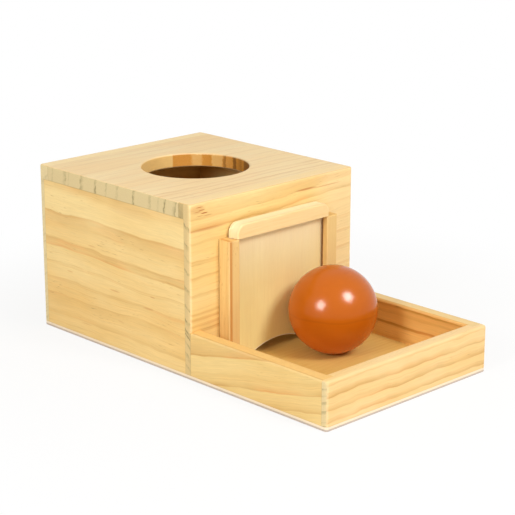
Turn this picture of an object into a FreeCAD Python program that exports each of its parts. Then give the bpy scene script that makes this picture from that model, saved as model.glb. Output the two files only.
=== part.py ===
import FreeCAD, Part
import os

# A wooden object permanence box. A ball goes in through the round hole in the top, rolls
# down a ramp inside, and comes out into the tray when the sliding door in front is lifted.
# Sizes are in millimetres. +Z is up, the tray faces -Y, and the origin is the middle of the
# base's underside.

# The box and the tray as a whole
box_width = 152.0
box_depth = 157.5
box_height = 118.0
tray_length = 122.5
tray_height = 32.5

# The boards and sheets that they are cut from
board_thickness = 10.0
base_thickness = 3.0
floor_thickness = 3.0

# Corner joints: the end boards lap over the ends of the side boards
corner_lap = 5.0
tray_corner_lap = 4.2

# Softened edges
upright_radius = 2.5
box_edge_radius = 1.2
tray_edge_radius = 2.0
base_edge_radius = 0.5

# The round hole in the top
hole_radius = 37.5
hole_rim_radius = 1.3

# The doorway in the front board, whose head lies below the rails' tops
doorway_width = 72.0
doorway_cover = 12.7
doorway_corner_radius = 8.0
tongue_clearance = 0.25

# The rails that the door slides in, and how far their tops lie below the box's
rail_spread = 101.0
rail_width = 9.5
rail_depth = 10.0
rail_drop = 27.3
rail_edge_radius = 0.8
groove_depth = 2.5
groove_width = 5.5

# The door
door_thickness = 3.0
door_side_clearance = 0.7
door_back_clearance = 1.0
door_floor_clearance = 0.5
arch_width = 52.0
arch_height = 6.5
door_edge_radius = 0.5

# The grip, a bar across the top of the door's front, and the two round corners that both share
grip_depth = 6.0
grip_height = 9.6
grip_corner_radius = 6.5
grip_edge_radius = 1.5
grip_seat_gap = 0.2

# The ball in the tray
ball_radius = 30.0
ball_across = 17.9
ball_from_front = 38.0
ball_floor_gap = 0.3

# The ramp inside, its bearers and its guides
ramp_thickness = 3.0
ramp_rise = 14.0
ramp_side_clearance = 0.25
bearer_width = 12.0
guide_width = 8.0
guide_height = 8.0

# Countersunk wood screws
screw_radius = 1.4
screw_head_radius = 3.0
screw_head_depth = 1.5
screw_tip_length = 2.0
screw_sink = 0.3
screw_clearance = 0.1
base_screw_length = 13.5
rail_screw_length = 15.0
grip_screw_length = 8.0
recess_depth = 1.0
recess_span = 3.4
recess_width = 0.7

# Dowels that tie the tray's walls to the box
dowel_radius = 3.0
dowel_length = 24.0
dowel_chamfer = 0.6
dowel_clearance = 0.05
dowel_end_gap = 0.5

# Extra length by which a cutter runs past what it cuts, and how nearly level an edge must be
# to count as level
overrun = 1.0
edge_tolerance = 0.1

# Where the screws and dowels stand, as shares of the board that holds them
tray_wall_screw_shares = (0.25, 0.66)
side_board_screw_shares = (0.22, 0.78)
end_board_screw_share = 0.5
front_board_screw_share = 0.76
rail_screw_shares = (0.28, 0.8)
grip_screw_share = 0.57
dowel_height_shares = (0.3, 0.7)
middle_bearer_share = 0.45

# Planes that several pieces share
half_width = box_width / 2
half_length = (box_depth + tray_length) / 2
inner_half_width = half_width - board_thickness
tray_front = -half_length
tray_inner_front = tray_front + board_thickness
box_front = tray_front + tray_length
box_inner_front = box_front + board_thickness
box_back = half_length
box_inner_back = box_back - board_thickness
base_top = base_thickness
floor_top = base_top + floor_thickness
top_underside = box_height - board_thickness
doorway_half = doorway_width / 2
rail_outer = rail_spread / 2
rail_inner = rail_outer - rail_width
rail_front = box_front - rail_depth
rail_top = box_height - rail_drop
doorway_top = rail_top - doorway_cover
groove_floor = rail_inner + groove_depth
door_half = groove_floor - door_side_clearance
door_back = box_front - door_back_clearance
door_front = door_back - door_thickness
door_bottom = floor_top + door_floor_clearance
grip_bottom = rail_top + grip_seat_gap
grip_top = grip_bottom + grip_height
wall_line = half_width - board_thickness / 2
rail_web_line = (groove_floor + rail_outer) / 2


def block(x0, x1, y0, y1, z0, z1):
    """A rectangular solid between two corners."""
    corner = FreeCAD.Vector(min(x0, x1), y0, z0)
    return Part.makeBox(abs(x1 - x0), y1 - y0, z1 - z0, corner)


def profile_across(points, x0, x1):
    """A solid with an outline in the YZ plane, carried along X."""
    corners = [FreeCAD.Vector(min(x0, x1), y, z) for y, z in points]
    face = Part.Face(Part.makePolygon(corners + corners[:1]))
    return face.extrude(FreeCAD.Vector(abs(x1 - x0), 0, 0))


def rod(radius, start, direction, length):
    """A round bar from a point along a direction."""
    return Part.makeCylinder(radius, length, FreeCAD.Vector(*start), FreeCAD.Vector(*direction))


def upright_corner_waste(x_side, y_side, y_face, z0, z1):
    """What is taken off a square upright corner to leave it round."""
    x_mid = x_side * (half_width - upright_radius)
    y_mid = y_face - y_side * upright_radius
    x_far = x_side * (half_width + overrun)
    y_far = y_face + y_side * overrun
    square = block(x_mid, x_far, min(y_mid, y_far), max(y_mid, y_far), z0, z1)
    return square.cut(rod(upright_radius, (x_mid, y_mid, z0), (0, 0, 1), z1 - z0))


def round_uprights(solid, y_side, y_face, z0, z1):
    """Round the left and right upright corners of one end."""
    for x_side in (-1, 1):
        solid = solid.cut(upright_corner_waste(x_side, y_side, y_face, z0, z1))
    return solid


def soften(solid, radius, wanted):
    """Round every edge whose surrounding box passes a test."""
    edges = [edge for edge in solid.Edges if wanted(edge.BoundBox)]
    return solid.makeFillet(radius, edges)


def level_at(height):
    """A test for the level edges at one height."""
    return lambda box: box.ZLength < edge_tolerance and abs(box.ZMax - height) < edge_tolerance


def box_outline():
    """The outside of the closed box, rounded as the finished box is."""
    solid = block(-half_width, half_width, box_front, box_back, base_top, box_height)
    solid = round_uprights(solid, 1, box_back, base_top - overrun, box_height + overrun)
    solid = round_uprights(solid, -1, box_front, tray_height, box_height + overrun)
    return soften(solid, box_edge_radius, level_at(box_height))


def tray_outline():
    """The tray's three walls in one, rounded as the finished tray is."""
    outside = block(-half_width, half_width, tray_front, box_front, base_top, tray_height)
    inside = block(-inner_half_width, inner_half_width, tray_inner_front, box_front + overrun,
                   base_top - overrun, tray_height + overrun)
    solid = round_uprights(outside.cut(inside), -1, tray_front, base_top - overrun,
                           tray_height + overrun)
    is_top = level_at(tray_height)
    return soften(solid, tray_edge_radius,
                  lambda box: is_top(box) and box.YMin < box_front - edge_tolerance)


def side_region(x_side, y0, y1, z0, z1):
    """The space of a board that stands along one side."""
    return block(x_side * inner_half_width, x_side * half_width, y0, y1, z0, z1)


def screw(length):
    """A countersunk screw that points along +Z, with its head at the origin."""
    shank_length = length - screw_tip_length
    head = Part.makeCone(screw_head_radius, screw_radius, screw_head_depth)
    shank = rod(screw_radius, (0, 0, 0), (0, 0, 1), shank_length)
    tip = Part.makeCone(screw_radius, 0, screw_tip_length, FreeCAD.Vector(0, 0, shank_length))
    solid = head.fuse([shank, tip]).removeSplitter()
    for wide, tall in ((recess_span, recess_width), (recess_width, recess_span)):
        slot = block(-wide / 2, wide / 2, -tall / 2, tall / 2, -overrun, recess_depth)
        solid = solid.cut(slot)
    return solid


def screw_hole(length):
    """The hole that a screw stands in, a little wider and longer, open past its head."""
    wall = screw_radius + screw_clearance
    mouth = screw_head_radius + screw_clearance
    slope = (screw_head_radius - screw_radius) / screw_head_depth
    sink = screw_sink + overrun
    flare = Part.makeCone(mouth + slope * sink, wall, screw_head_depth + sink,
                          FreeCAD.Vector(0, 0, -sink))
    return flare.fuse(rod(wall, (0, 0, 0), (0, 0, 1), length + screw_clearance))


def placed(solid, point, turn_axis, angle):
    """A copy of a solid, turned and then moved to a point."""
    copy = solid.copy()
    copy.Placement = FreeCAD.Placement(FreeCAD.Vector(*point),
                                       FreeCAD.Rotation(FreeCAD.Vector(*turn_axis), angle))
    return copy


def along(low, high, share):
    """The place at a share of the way from one plane to another."""
    return low + (high - low) * share


def base_screw_places():
    """Where the screws go up through the base into the middle of each board."""
    wall_front = tray_front + tray_corner_lap
    side_front = box_front + corner_lap
    side_back = box_back - corner_lap
    places = []
    for x_side in (-1, 1):
        for share in tray_wall_screw_shares:
            places.append((x_side * wall_line, along(wall_front, box_front, share)))
        for share in side_board_screw_shares:
            places.append((x_side * wall_line, along(side_front, side_back, share)))
        for y in (tray_front + board_thickness / 2, box_back - board_thickness / 2):
            places.append((x_side * half_width * end_board_screw_share, y))
        places.append((x_side * half_width * front_board_screw_share,
                       box_front + board_thickness / 2))
    return places


def with_base_screws(item):
    """A screw or a hole at each place in the base."""
    return [placed(item, (x, y, screw_sink), (0, 0, 1), 0) for x, y in base_screw_places()]


def with_rail_screws(item):
    """A screw or a hole at each place where the front board holds a rail."""
    head_plane = box_inner_front - screw_sink
    heights = [along(floor_top, rail_top, share) for share in rail_screw_shares]
    return [placed(item, (x_side * rail_web_line, head_plane, z), (1, 0, 0), 90)
            for x_side in (-1, 1) for z in heights]


def with_grip_screws(item):
    """A screw or a hole at each place where the door's panel holds its grip."""
    head_plane = door_back - screw_sink
    height = (grip_bottom + grip_top) / 2
    return [placed(item, (x_side * door_half * grip_screw_share, head_plane, height), (1, 0, 0), 90)
            for x_side in (-1, 1)]


def dowel_axes():
    """The tray end of each dowel, as x, y and z."""
    start = box_front - dowel_length / 2
    heights = [along(base_top, tray_height, share) for share in dowel_height_shares]
    return [(x_side * wall_line, start, z) for x_side in (-1, 1) for z in heights]


def dowel_holes():
    """The holes for the dowels, a little wider and longer than they are."""
    wall = dowel_radius + dowel_clearance
    length = dowel_length + 2 * dowel_end_gap
    return [rod(wall, (x, y - dowel_end_gap, z), (0, 1, 0), length) for x, y, z in dowel_axes()]


def base_plate():
    """The thin sheet under the box and the tray."""
    solid = block(-half_width, half_width, tray_front, box_back, 0, base_thickness)
    solid = round_uprights(solid, -1, tray_front, -overrun, base_thickness + overrun)
    solid = round_uprights(solid, 1, box_back, -overrun, base_thickness + overrun)
    solid = soften(solid, base_edge_radius, level_at(0))
    return solid.cut(with_base_screws(screw_hole(base_screw_length)))


def tray_floor():
    """The sheet that the ball rests on, with a tongue that fills the doorway's sill."""
    solid = block(-inner_half_width, inner_half_width, tray_inner_front, box_front,
                  base_top, floor_top)
    tongue_half = doorway_half - tongue_clearance
    tongue = block(-tongue_half, tongue_half, box_front, box_inner_front, base_top, floor_top)
    return solid.fuse(tongue).removeSplitter()


def doorway():
    """The opening in the front board, round at its two upper corners."""
    solid = block(-doorway_half, doorway_half, box_front - overrun, box_inner_front + overrun,
                  base_top - overrun, doorway_top)

    def is_upper_corner(box):
        upright = box.XLength < edge_tolerance and box.ZLength < edge_tolerance
        return upright and abs(box.ZMax - doorway_top) < edge_tolerance

    return soften(solid, doorway_corner_radius, is_upper_corner)


def end_board(y_outer, y_side):
    """A board across one end of the box, cut back where the side boards' ends fit."""
    y_inner = y_outer - y_side * board_thickness
    y_lap = y_outer - y_side * corner_lap
    region = block(-half_width, half_width, min(y_outer, y_inner), max(y_outer, y_inner),
                   base_top, box_height)
    solid = box_outline().common(region)
    for x_side in (-1, 1):
        far = x_side * (half_width + overrun)
        solid = solid.cut(block(x_side * inner_half_width, far, min(y_inner, y_lap),
                                max(y_inner, y_lap), base_top - overrun, top_underside))
    return solid.cut(with_base_screws(screw_hole(base_screw_length)))


def front_board():
    """The board that the door hangs on, with the doorway and the holes for its screws."""
    solid = end_board(box_front, -1).cut(doorway())
    return solid.cut(with_rail_screws(screw_hole(rail_screw_length)) + dowel_holes())


def back_board():
    """The plain board at the back."""
    return end_board(box_back, 1)


def side_board(x_side):
    """A board along one side of the box, between the laps of the end boards."""
    region = side_region(x_side, box_front + corner_lap, box_back - corner_lap,
                         base_top, top_underside)
    return region.cut(with_base_screws(screw_hole(base_screw_length)) + dowel_holes())


def top_board():
    """The top, with the hole that the ball goes through."""
    middle = (box_front + box_back) / 2
    region = block(-half_width, half_width, box_inner_front, box_inner_back,
                   top_underside, box_height)
    hole = rod(hole_radius, (0, middle, top_underside - overrun), (0, 0, 1),
               board_thickness + 2 * overrun)
    solid = box_outline().common(region).cut(hole)

    def is_rim(box):
        return abs(box.XLength - 2 * hole_radius) < edge_tolerance and box.ZLength < edge_tolerance

    return soften(solid, hole_rim_radius, is_rim)


def tray_wall(x_side):
    """A wall along one side of the tray, from the front wall's lap to the box."""
    region = side_region(x_side, tray_front + tray_corner_lap, box_front, base_top, tray_height)
    solid = tray_outline().common(region)
    return solid.cut(with_base_screws(screw_hole(base_screw_length)) + dowel_holes())


def tray_front_wall():
    """The wall across the front of the tray, which laps over the side walls' ends."""
    lap_plane = tray_front + tray_corner_lap
    region = block(-inner_half_width, inner_half_width, tray_front, tray_inner_front,
                   base_top, tray_height)
    lap = block(-half_width, half_width, tray_front, lap_plane, base_top, tray_height)
    solid = tray_outline().common(region.fuse(lap))
    return solid.removeSplitter().cut(with_base_screws(screw_hole(base_screw_length)))


def rail(x_side):
    """An upright strip with a step behind its inner edge, where the door's edge runs."""
    strip = block(x_side * rail_inner, x_side * rail_outer, rail_front, box_front,
                  floor_top, rail_top)

    def is_outer(box):
        return box.YMax < box_front - edge_tolerance and box.ZMax > floor_top + edge_tolerance

    strip = soften(strip, rail_edge_radius, is_outer)
    step = block(x_side * (rail_inner - overrun), x_side * groove_floor,
                 box_front - groove_width, box_front + overrun,
                 floor_top - overrun, rail_top + overrun)
    return strip.cut([step] + with_rail_screws(screw_hole(rail_screw_length)))


def is_top_corner(box):
    """A test for the door's two corners at the grip's ends."""
    return box.XLength < edge_tolerance and box.ZMin > grip_top - edge_tolerance


def door_panel():
    """The sliding panel, with an arch in its lower edge, which reaches up behind the grip."""
    solid = block(-door_half, door_half, door_front, door_back, door_bottom, grip_top)
    solid = soften(solid, grip_corner_radius, is_top_corner)

    def is_face_edge(box):
        return box.YLength < edge_tolerance and box.ZMax > door_bottom + edge_tolerance

    solid = soften(solid, door_edge_radius, is_face_edge)
    arch_radius = (arch_width ** 2 / 4 + arch_height ** 2) / (2 * arch_height)
    arch_centre = (0, door_front - overrun, door_bottom + arch_height - arch_radius)
    arch = rod(arch_radius, arch_centre, (0, 1, 0), door_thickness + 2 * overrun)
    return solid.cut([arch] + with_grip_screws(screw_hole(grip_screw_length)))


def door_grip():
    """The bar on the front of the panel, with the panel's outline at its top and ends."""
    front = door_front - grip_depth
    bar = block(-door_half, door_half, front, door_front, grip_bottom, grip_top)
    bar = soften(bar, grip_corner_radius, is_top_corner)

    def is_face_edge(box):
        return box.YMax < front + edge_tolerance and box.ZMax > grip_bottom + edge_tolerance

    bar = soften(bar, grip_edge_radius, is_face_edge)
    return bar.cut(with_grip_screws(screw_hole(grip_screw_length)))


def ball():
    """The wooden ball, in the tray."""
    centre = FreeCAD.Vector(ball_across, box_front - ball_from_front,
                            floor_top + ball_floor_gap + ball_radius)
    return Part.makeSphere(ball_radius, centre)


def ramp_height(y):
    """How far the ramp has risen at one place between the front and the back of the box."""
    return ramp_rise * (y - box_inner_front) / (box_inner_back - box_inner_front)


def sloping_strip(x0, x1, y0, y1, lower, upper):
    """A strip that rises with the ramp, between two heights above the base at its front."""
    points = [(y0, lower + ramp_height(y0)), (y1, lower + ramp_height(y1)),
              (y1, upper + ramp_height(y1)), (y0, upper + ramp_height(y0))]
    return profile_across(points, x0, x1)


def ramp_board():
    """The sheet that slopes down to the doorway."""
    half = inner_half_width - ramp_side_clearance
    return sloping_strip(-half, half, box_inner_front, box_inner_back,
                         base_top, base_top + ramp_thickness)


def ramp_bearer(y_middle):
    """A bar across the box that carries the ramp, with a sloping top."""
    half = inner_half_width - ramp_side_clearance
    y0 = y_middle - bearer_width / 2
    y1 = y_middle + bearer_width / 2
    points = [(y0, base_top), (y1, base_top),
              (y1, base_top + ramp_height(y1)), (y0, base_top + ramp_height(y0))]
    return profile_across(points, -half, half)


def ramp_guide(x_side):
    """A strip on the ramp that keeps the ball in line with the doorway."""
    lower = base_top + ramp_thickness
    return sloping_strip(x_side * doorway_half, x_side * (doorway_half + guide_width),
                         box_inner_front, box_inner_back, lower, lower + guide_height)


def dowel(x, y, z):
    """A dowel along Y, with chamfered ends."""
    solid = rod(dowel_radius, (x, y, z), (0, 1, 0), dowel_length)
    ends = [edge for edge in solid.Edges if edge.BoundBox.YLength < edge_tolerance]
    return solid.makeChamfer(dowel_chamfer, ends)


def tray_dowels():
    """The four dowels through the front board's laps."""
    return Part.makeCompound([dowel(*axis) for axis in dowel_axes()])


def base_screws():
    """The screws up through the base."""
    return Part.makeCompound(with_base_screws(screw(base_screw_length)))


def rail_screws():
    """The screws through the front board into the rails."""
    return Part.makeCompound(with_rail_screws(screw(rail_screw_length)))


def grip_screws():
    """The screws through the door's panel into the grip."""
    return Part.makeCompound(with_grip_screws(screw(grip_screw_length)))


def all_pieces():
    """Every piece of the toy under its own name."""
    rear_bearer_line = box_inner_back - bearer_width / 2
    middle_bearer_line = along(box_inner_front, box_inner_back, middle_bearer_share)
    return {
        "base_plate": base_plate(),
        "tray_floor": tray_floor(),
        "front_board": front_board(),
        "back_board": back_board(),
        "left_side_board": side_board(-1),
        "right_side_board": side_board(1),
        "top_board": top_board(),
        "tray_left_wall": tray_wall(-1),
        "tray_right_wall": tray_wall(1),
        "tray_front_wall": tray_front_wall(),
        "left_rail": rail(-1),
        "right_rail": rail(1),
        "door_panel": door_panel(),
        "door_grip": door_grip(),
        "ball": ball(),
        "ramp_board": ramp_board(),
        "ramp_rear_bearer": ramp_bearer(rear_bearer_line),
        "ramp_middle_bearer": ramp_bearer(middle_bearer_line),
        "ramp_left_guide": ramp_guide(-1),
        "ramp_right_guide": ramp_guide(1),
        "tray_dowels": tray_dowels(),
        "base_screws": base_screws(),
        "rail_screws": rail_screws(),
        "grip_screws": grip_screws(),
    }


os.makedirs("parts", exist_ok=True)
for name, shape in all_pieces().items():
    if not shape.isValid():
        raise ValueError(name + " is not a valid solid")
    shape.exportStep("parts/" + name + ".step")
    print(name, len(shape.Solids), "solid", round(shape.Volume), "mm3")
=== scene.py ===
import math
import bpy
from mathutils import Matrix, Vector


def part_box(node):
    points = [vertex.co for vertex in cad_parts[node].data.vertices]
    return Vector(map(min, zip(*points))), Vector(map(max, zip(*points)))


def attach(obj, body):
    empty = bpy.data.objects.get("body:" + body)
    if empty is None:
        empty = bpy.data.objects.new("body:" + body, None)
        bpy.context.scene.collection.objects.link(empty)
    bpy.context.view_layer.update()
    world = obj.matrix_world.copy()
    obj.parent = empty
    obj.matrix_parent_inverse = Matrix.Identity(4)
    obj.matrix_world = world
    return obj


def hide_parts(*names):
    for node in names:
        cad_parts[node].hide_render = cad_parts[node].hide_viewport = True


bl_info = {
    "name": "Object permanence box",
    "version": (1, 0, 0),
    "blender": (4, 5, 0),
    "location": "3D View > Sidebar > Toy box",
    "description": "Gives the packed wooden toy its wood, paint and steel, and sets up its stage",
    "category": "Object",
}

import bpy
import numpy as np
from mathutils import Vector

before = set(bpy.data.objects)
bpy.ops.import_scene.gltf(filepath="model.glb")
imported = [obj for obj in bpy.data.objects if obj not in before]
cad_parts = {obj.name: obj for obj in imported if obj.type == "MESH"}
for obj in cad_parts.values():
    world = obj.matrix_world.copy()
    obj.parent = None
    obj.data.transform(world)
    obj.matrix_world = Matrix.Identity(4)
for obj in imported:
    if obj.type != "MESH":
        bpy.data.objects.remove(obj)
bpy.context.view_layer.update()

MM_PER_METRE = 1000.0
AXES = {"X": 0, "Y": 1, "Z": 2}


def rgb(red, green, blue):
    """A colour from 0 to 255 in the screen's own scale, turned to the linear scale that shaders use."""
    share = np.array([red, green, blue], float) / 255.0
    low = share / 12.92
    high = ((share + 0.055) / 1.055) ** 2.4
    return tuple(np.where(share <= 0.04045, low, high).tolist())


# Settings that a user may change


def colour_setting(name, description, default):
    """A colour that a user may change."""
    return bpy.props.FloatVectorProperty(
        name=name, description=description, default=default,
        subtype="COLOR", size=3, min=0.0, max=1.0,
    )


def number_setting(name, description, default, **kind):
    """A number that a user may change."""
    return bpy.props.FloatProperty(name=name, description=description, default=default, **kind)


class PineSettings(bpy.types.PropertyGroup):
    """The varnished pine of the boards."""

    late_wood: colour_setting("Late wood", "Brown of the dark side of a year ring", rgb(198, 142, 60))
    warm_late_wood: colour_setting(
        "Warm late wood", "Orange that the late wood turns to in places", rgb(218, 150, 74))
    fleck: colour_setting("Flecks", "Brown of the short resin ducts along the grain", rgb(160, 108, 46))
    knot: colour_setting("Knot", "Brown of the dark marks of a small knot", rgb(186, 94, 4))
    end_ground: colour_setting("End grain", "Cream ground of a sawn board end", rgb(216, 195, 146))
    end_line: colour_setting(
        "End grain rings", "Grey-brown of the rings on a sawn board end", rgb(138, 120, 74))
    # The cream of the rounded edges is partly wear and partly a painted highlight on them
    worn: colour_setting("Worn edge", "Cream of the rounded edges that hands rub", rgb(253, 223, 184))
    joint: colour_setting("Joint", "Brown of the thin dark line where two boards meet", rgb(128, 88, 44))
    joint_width: number_setting(
        "Joint width", "How far a joint's dark line reaches onto each board", 0.00032,
        unit="LENGTH", min=0.0, max=0.002)
    varnish: number_setting(
        "Varnish roughness", "How dull the satin varnish is", 0.46, subtype="FACTOR", min=0.0, max=1.0)


class PaintSettings(bpy.types.PropertyGroup):
    """The ball's paint."""

    paint: colour_setting("Paint", "Terracotta of the ball", rgb(191, 96, 12))
    worn: colour_setting("Worn paint", "Lighter paint where the ball is handled", rgb(198, 105, 19))
    gloss: number_setting(
        "Paint roughness", "How dull the ball's paint is", 0.20, subtype="FACTOR", min=0.0, max=1.0)


class FixingSettings(bpy.types.PropertyGroup):
    """Screws and dowels."""

    steel: colour_setting("Steel", "Zinc-plated steel of the screws", rgb(186, 188, 190))
    beech: colour_setting("Beech", "Pinkish wood of the dowels", rgb(222, 184, 140))


class StageSettings(bpy.types.PropertyGroup):
    """Camera, lamps and floor."""

    azimuth: number_setting(
        "Camera azimuth", "Direction that the camera stands in, round from the tray's end",
        math.radians(-43.88), subtype="ANGLE")
    elevation: number_setting(
        "Camera elevation", "Height of the camera above the horizon", math.radians(16.65), subtype="ANGLE")
    distance: number_setting(
        "Camera distance", "From the camera to the point that it looks at", 1.0928,
        unit="LENGTH", min=0.1)
    target: bpy.props.FloatVectorProperty(
        name="Camera target", description="The point that the camera looks at",
        default=(-0.01561, -0.0175, 0.07115), subtype="TRANSLATION", size=3)
    lens: number_setting("Lens", "Focal length on a 36 mm sensor", 114.9, unit="CAMERA", min=10.0)
    left_lamp: number_setting(
        "Left lamp", "Power of the soft lamp to the left of the camera", 5.35, unit="POWER", min=0.0)
    right_lamp: number_setting(
        "Right lamp", "Power of the soft lamp to the right of the camera", 8.0, unit="POWER", min=0.0)
    gleam: number_setting(
        "Bulbs", "Power of the left bulb, which shows only in gloss; the right one has half more", 9.6,
        unit="POWER", min=0.0)
    sky: number_setting("Room light", "Strength of the even light all round", 0.50, min=0.0)
    room_colour: colour_setting("Room colour", "Colour of the even light all round", (1.0, 0.95, 0.84))


# Materials


# How far apart two seeds lie in the noise of the pine and of the plainer wood
PINE_STEP = 17.0
PLAIN_STEP = 13.0

# What all the wood has: how strongly it mirrors, how deep its relief is in metres, and, where it is
# close-grained, the tones of its rounded edges, pale partly from wear and partly from a painted highlight,
# and of its flecks
WOOD_SPECULAR = 0.30
RELIEF_DEPTH = 0.0002
RUBBED_EDGE_AND_HIGHLIGHT = rgb(255, 228, 176)
PLAIN_FLECK = rgb(176, 122, 56)


class Sheet:
    """The node tree of a material or a world, built by short calls. A value may be a number, a colour or a
    socket."""

    def __init__(self, owner, output="OutputMaterial"):
        owner.use_nodes = True
        self.owner = owner
        self.nodes = owner.node_tree.nodes
        self.links = owner.node_tree.links
        self.nodes.clear()
        self.output = self.nodes.new("ShaderNode" + output)

    def put(self, socket, value):
        """Link a socket, or set it to a plain value."""
        if isinstance(value, bpy.types.NodeSocket):
            self.links.new(value, socket)
        elif socket.type == "RGBA":
            socket.default_value = (*value, 1.0)[:4]
        else:
            socket.default_value = value

    def add(self, kind, values=None, **settings):
        """A node of one kind, with its settings and its inputs by name or number."""
        node = self.nodes.new("ShaderNode" + kind)
        for key, value in settings.items():
            setattr(node, key, value)
        for key, value in (values or {}).items():
            self.put(node.inputs[key], value)
        return node

    def number(self, operation, *values, clamp=False):
        """The result of one sum."""
        node = self.add("Math", operation=operation, use_clamp=clamp)
        for socket, value in zip(node.inputs, values):
            self.put(socket, value)
        return node.outputs[0]

    def plus(self, first, second):
        """Two values added."""
        return self.number("ADD", first, second)

    def less(self, first, second):
        """One value taken from another."""
        return self.number("SUBTRACT", first, second)

    def times(self, first, second):
        """One value times another."""
        return self.number("MULTIPLY", first, second)

    def linear(self, value, factor, start, clamp=False):
        """A value times a factor, and a start added."""
        return self.number("MULTIPLY_ADD", value, factor, start, clamp=clamp)

    def squares(self, first, second):
        """The squares of two values added."""
        return self.plus(self.times(first, first), self.times(second, second))

    def scaled(self, value, low, high):
        """A value from 0 to 1, stretched to lie between two numbers."""
        return self.linear(value, high - low, low)

    def spread(self, value, reach):
        """A value from 0 to 1, stretched to reach as far below 0 as above it."""
        return self.scaled(value, -reach, reach)

    def step(self, value, low, high):
        """0 below low, 1 above high, and a smooth rise between."""
        node = self.add("MapRange", {0: value, 1: low, 2: high}, interpolation_type="SMOOTHSTEP")
        return node.outputs[0]

    def fall(self, value, low, high):
        """1 below low, 0 above high, and a smooth fall between."""
        return self.less(1.0, self.step(value, low, high))

    def between(self, value, rise, fall):
        """1 between a smooth rise and a smooth fall, each from one number to the next, and 0 outside them."""
        return self.less(self.step(value, *rise), self.step(value, *fall))

    def mix(self, share, first, second, blend="MIX"):
        """Two colours in one share."""
        node = self.add("Mix", data_type="RGBA", blend_type=blend)
        for index, value in ((0, share), (6, first), (7, second)):
            self.put(node.inputs[index], value)
        return node.outputs[2]

    def vector(self, x, y, z):
        """Three numbers as one vector."""
        return self.add("CombineXYZ", {0: x, 1: y, 2: z}).outputs[0]

    def drawn_out(self, parts, rates, shift=0.0):
        """A place for noise that is drawn out along the first of three parts. A rate is how fast the noise
        goes by in a millimetre, and a shift gives each piece a place of its own."""
        return self.vector(self.linear(parts[0], rates[0], shift),
                           self.times(parts[1], rates[1]), self.times(parts[2], rates[2]))

    def noise(self, place, scale=1.0, detail=2.0, roughness=0.5):
        """Cloudy noise, mostly between 0.25 and 0.75."""
        node = self.add("TexNoise", {
            "Vector": place, "Scale": scale, "Detail": detail, "Roughness": roughness})
        return node.outputs[0]

    def line_noise(self, place, detail=2.0, roughness=0.5):
        """Noise of one number."""
        node = self.add("TexNoise", {
            "W": place, "Scale": 1.0, "Detail": detail, "Roughness": roughness},
            noise_dimensions="1D")
        return node.outputs[0]

    def ramp(self, value, stops):
        """A profile through (place, level) stops, where a level is a number or a colour."""
        node = self.add("ValToRGB", {0: value})
        elements = node.color_ramp.elements
        elements.remove(elements[1])
        for index, (place, level) in enumerate(stops):
            element = elements[0] if index == 0 else elements.new(place)
            element.position = place
            colour = level if isinstance(level, tuple) else (level,) * 3
            element.color = (*colour, 1.0)
        return node.outputs[0]

    def over(self, colour, tint, share, strength):
        """A colour with a tint laid over it, in a share of a strength."""
        return self.mix(self.times(share, strength), colour, tint)

    def toned(self, colour, value, low, high):
        """A colour made darker or lighter, as a value from 0 to 1 goes from one number about 1 to another."""
        tone = self.scaled(value, low, high)
        return self.mix(1.0, colour, self.vector(tone, tone, tone), "MULTIPLY")

    def centred(self, middle):
        """Object coordinates in millimetres from a middle, as a vector and as its three parts."""
        where = self.add("TexCoord").outputs["Object"]
        moved = self.add("Mapping", {
            "Vector": where, "Location": -middle * MM_PER_METRE,
            "Scale": (MM_PER_METRE,) * 3}).outputs[0]
        return moved, self.add("SeparateXYZ", {0: moved}).outputs

    def bump(self, height, strength, distance=RELIEF_DEPTH):
        """A surface normal that follows a height."""
        node = self.add("Bump", {"Height": height, "Strength": strength, "Distance": distance})
        return node.outputs[0]

    def show(self, shader):
        """Link a shader to the output, and give back the finished material or world."""
        self.links.new(shader.outputs[0], self.output.inputs[0])
        return self.owner

    def finish(self, colour, roughness, normal, specular=WOOD_SPECULAR, metallic=0.0):
        """The Principled shader and the output. The finished material is returned."""
        return self.show(self.add("BsdfPrincipled", {
            "Base Color": colour, "Roughness": roughness, "Normal": normal,
            "Specular IOR Level": specular, "Metallic": metallic}))


def new_sheet(name):
    """The empty node tree of a new material."""
    return Sheet(bpy.data.materials.new(name))
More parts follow.
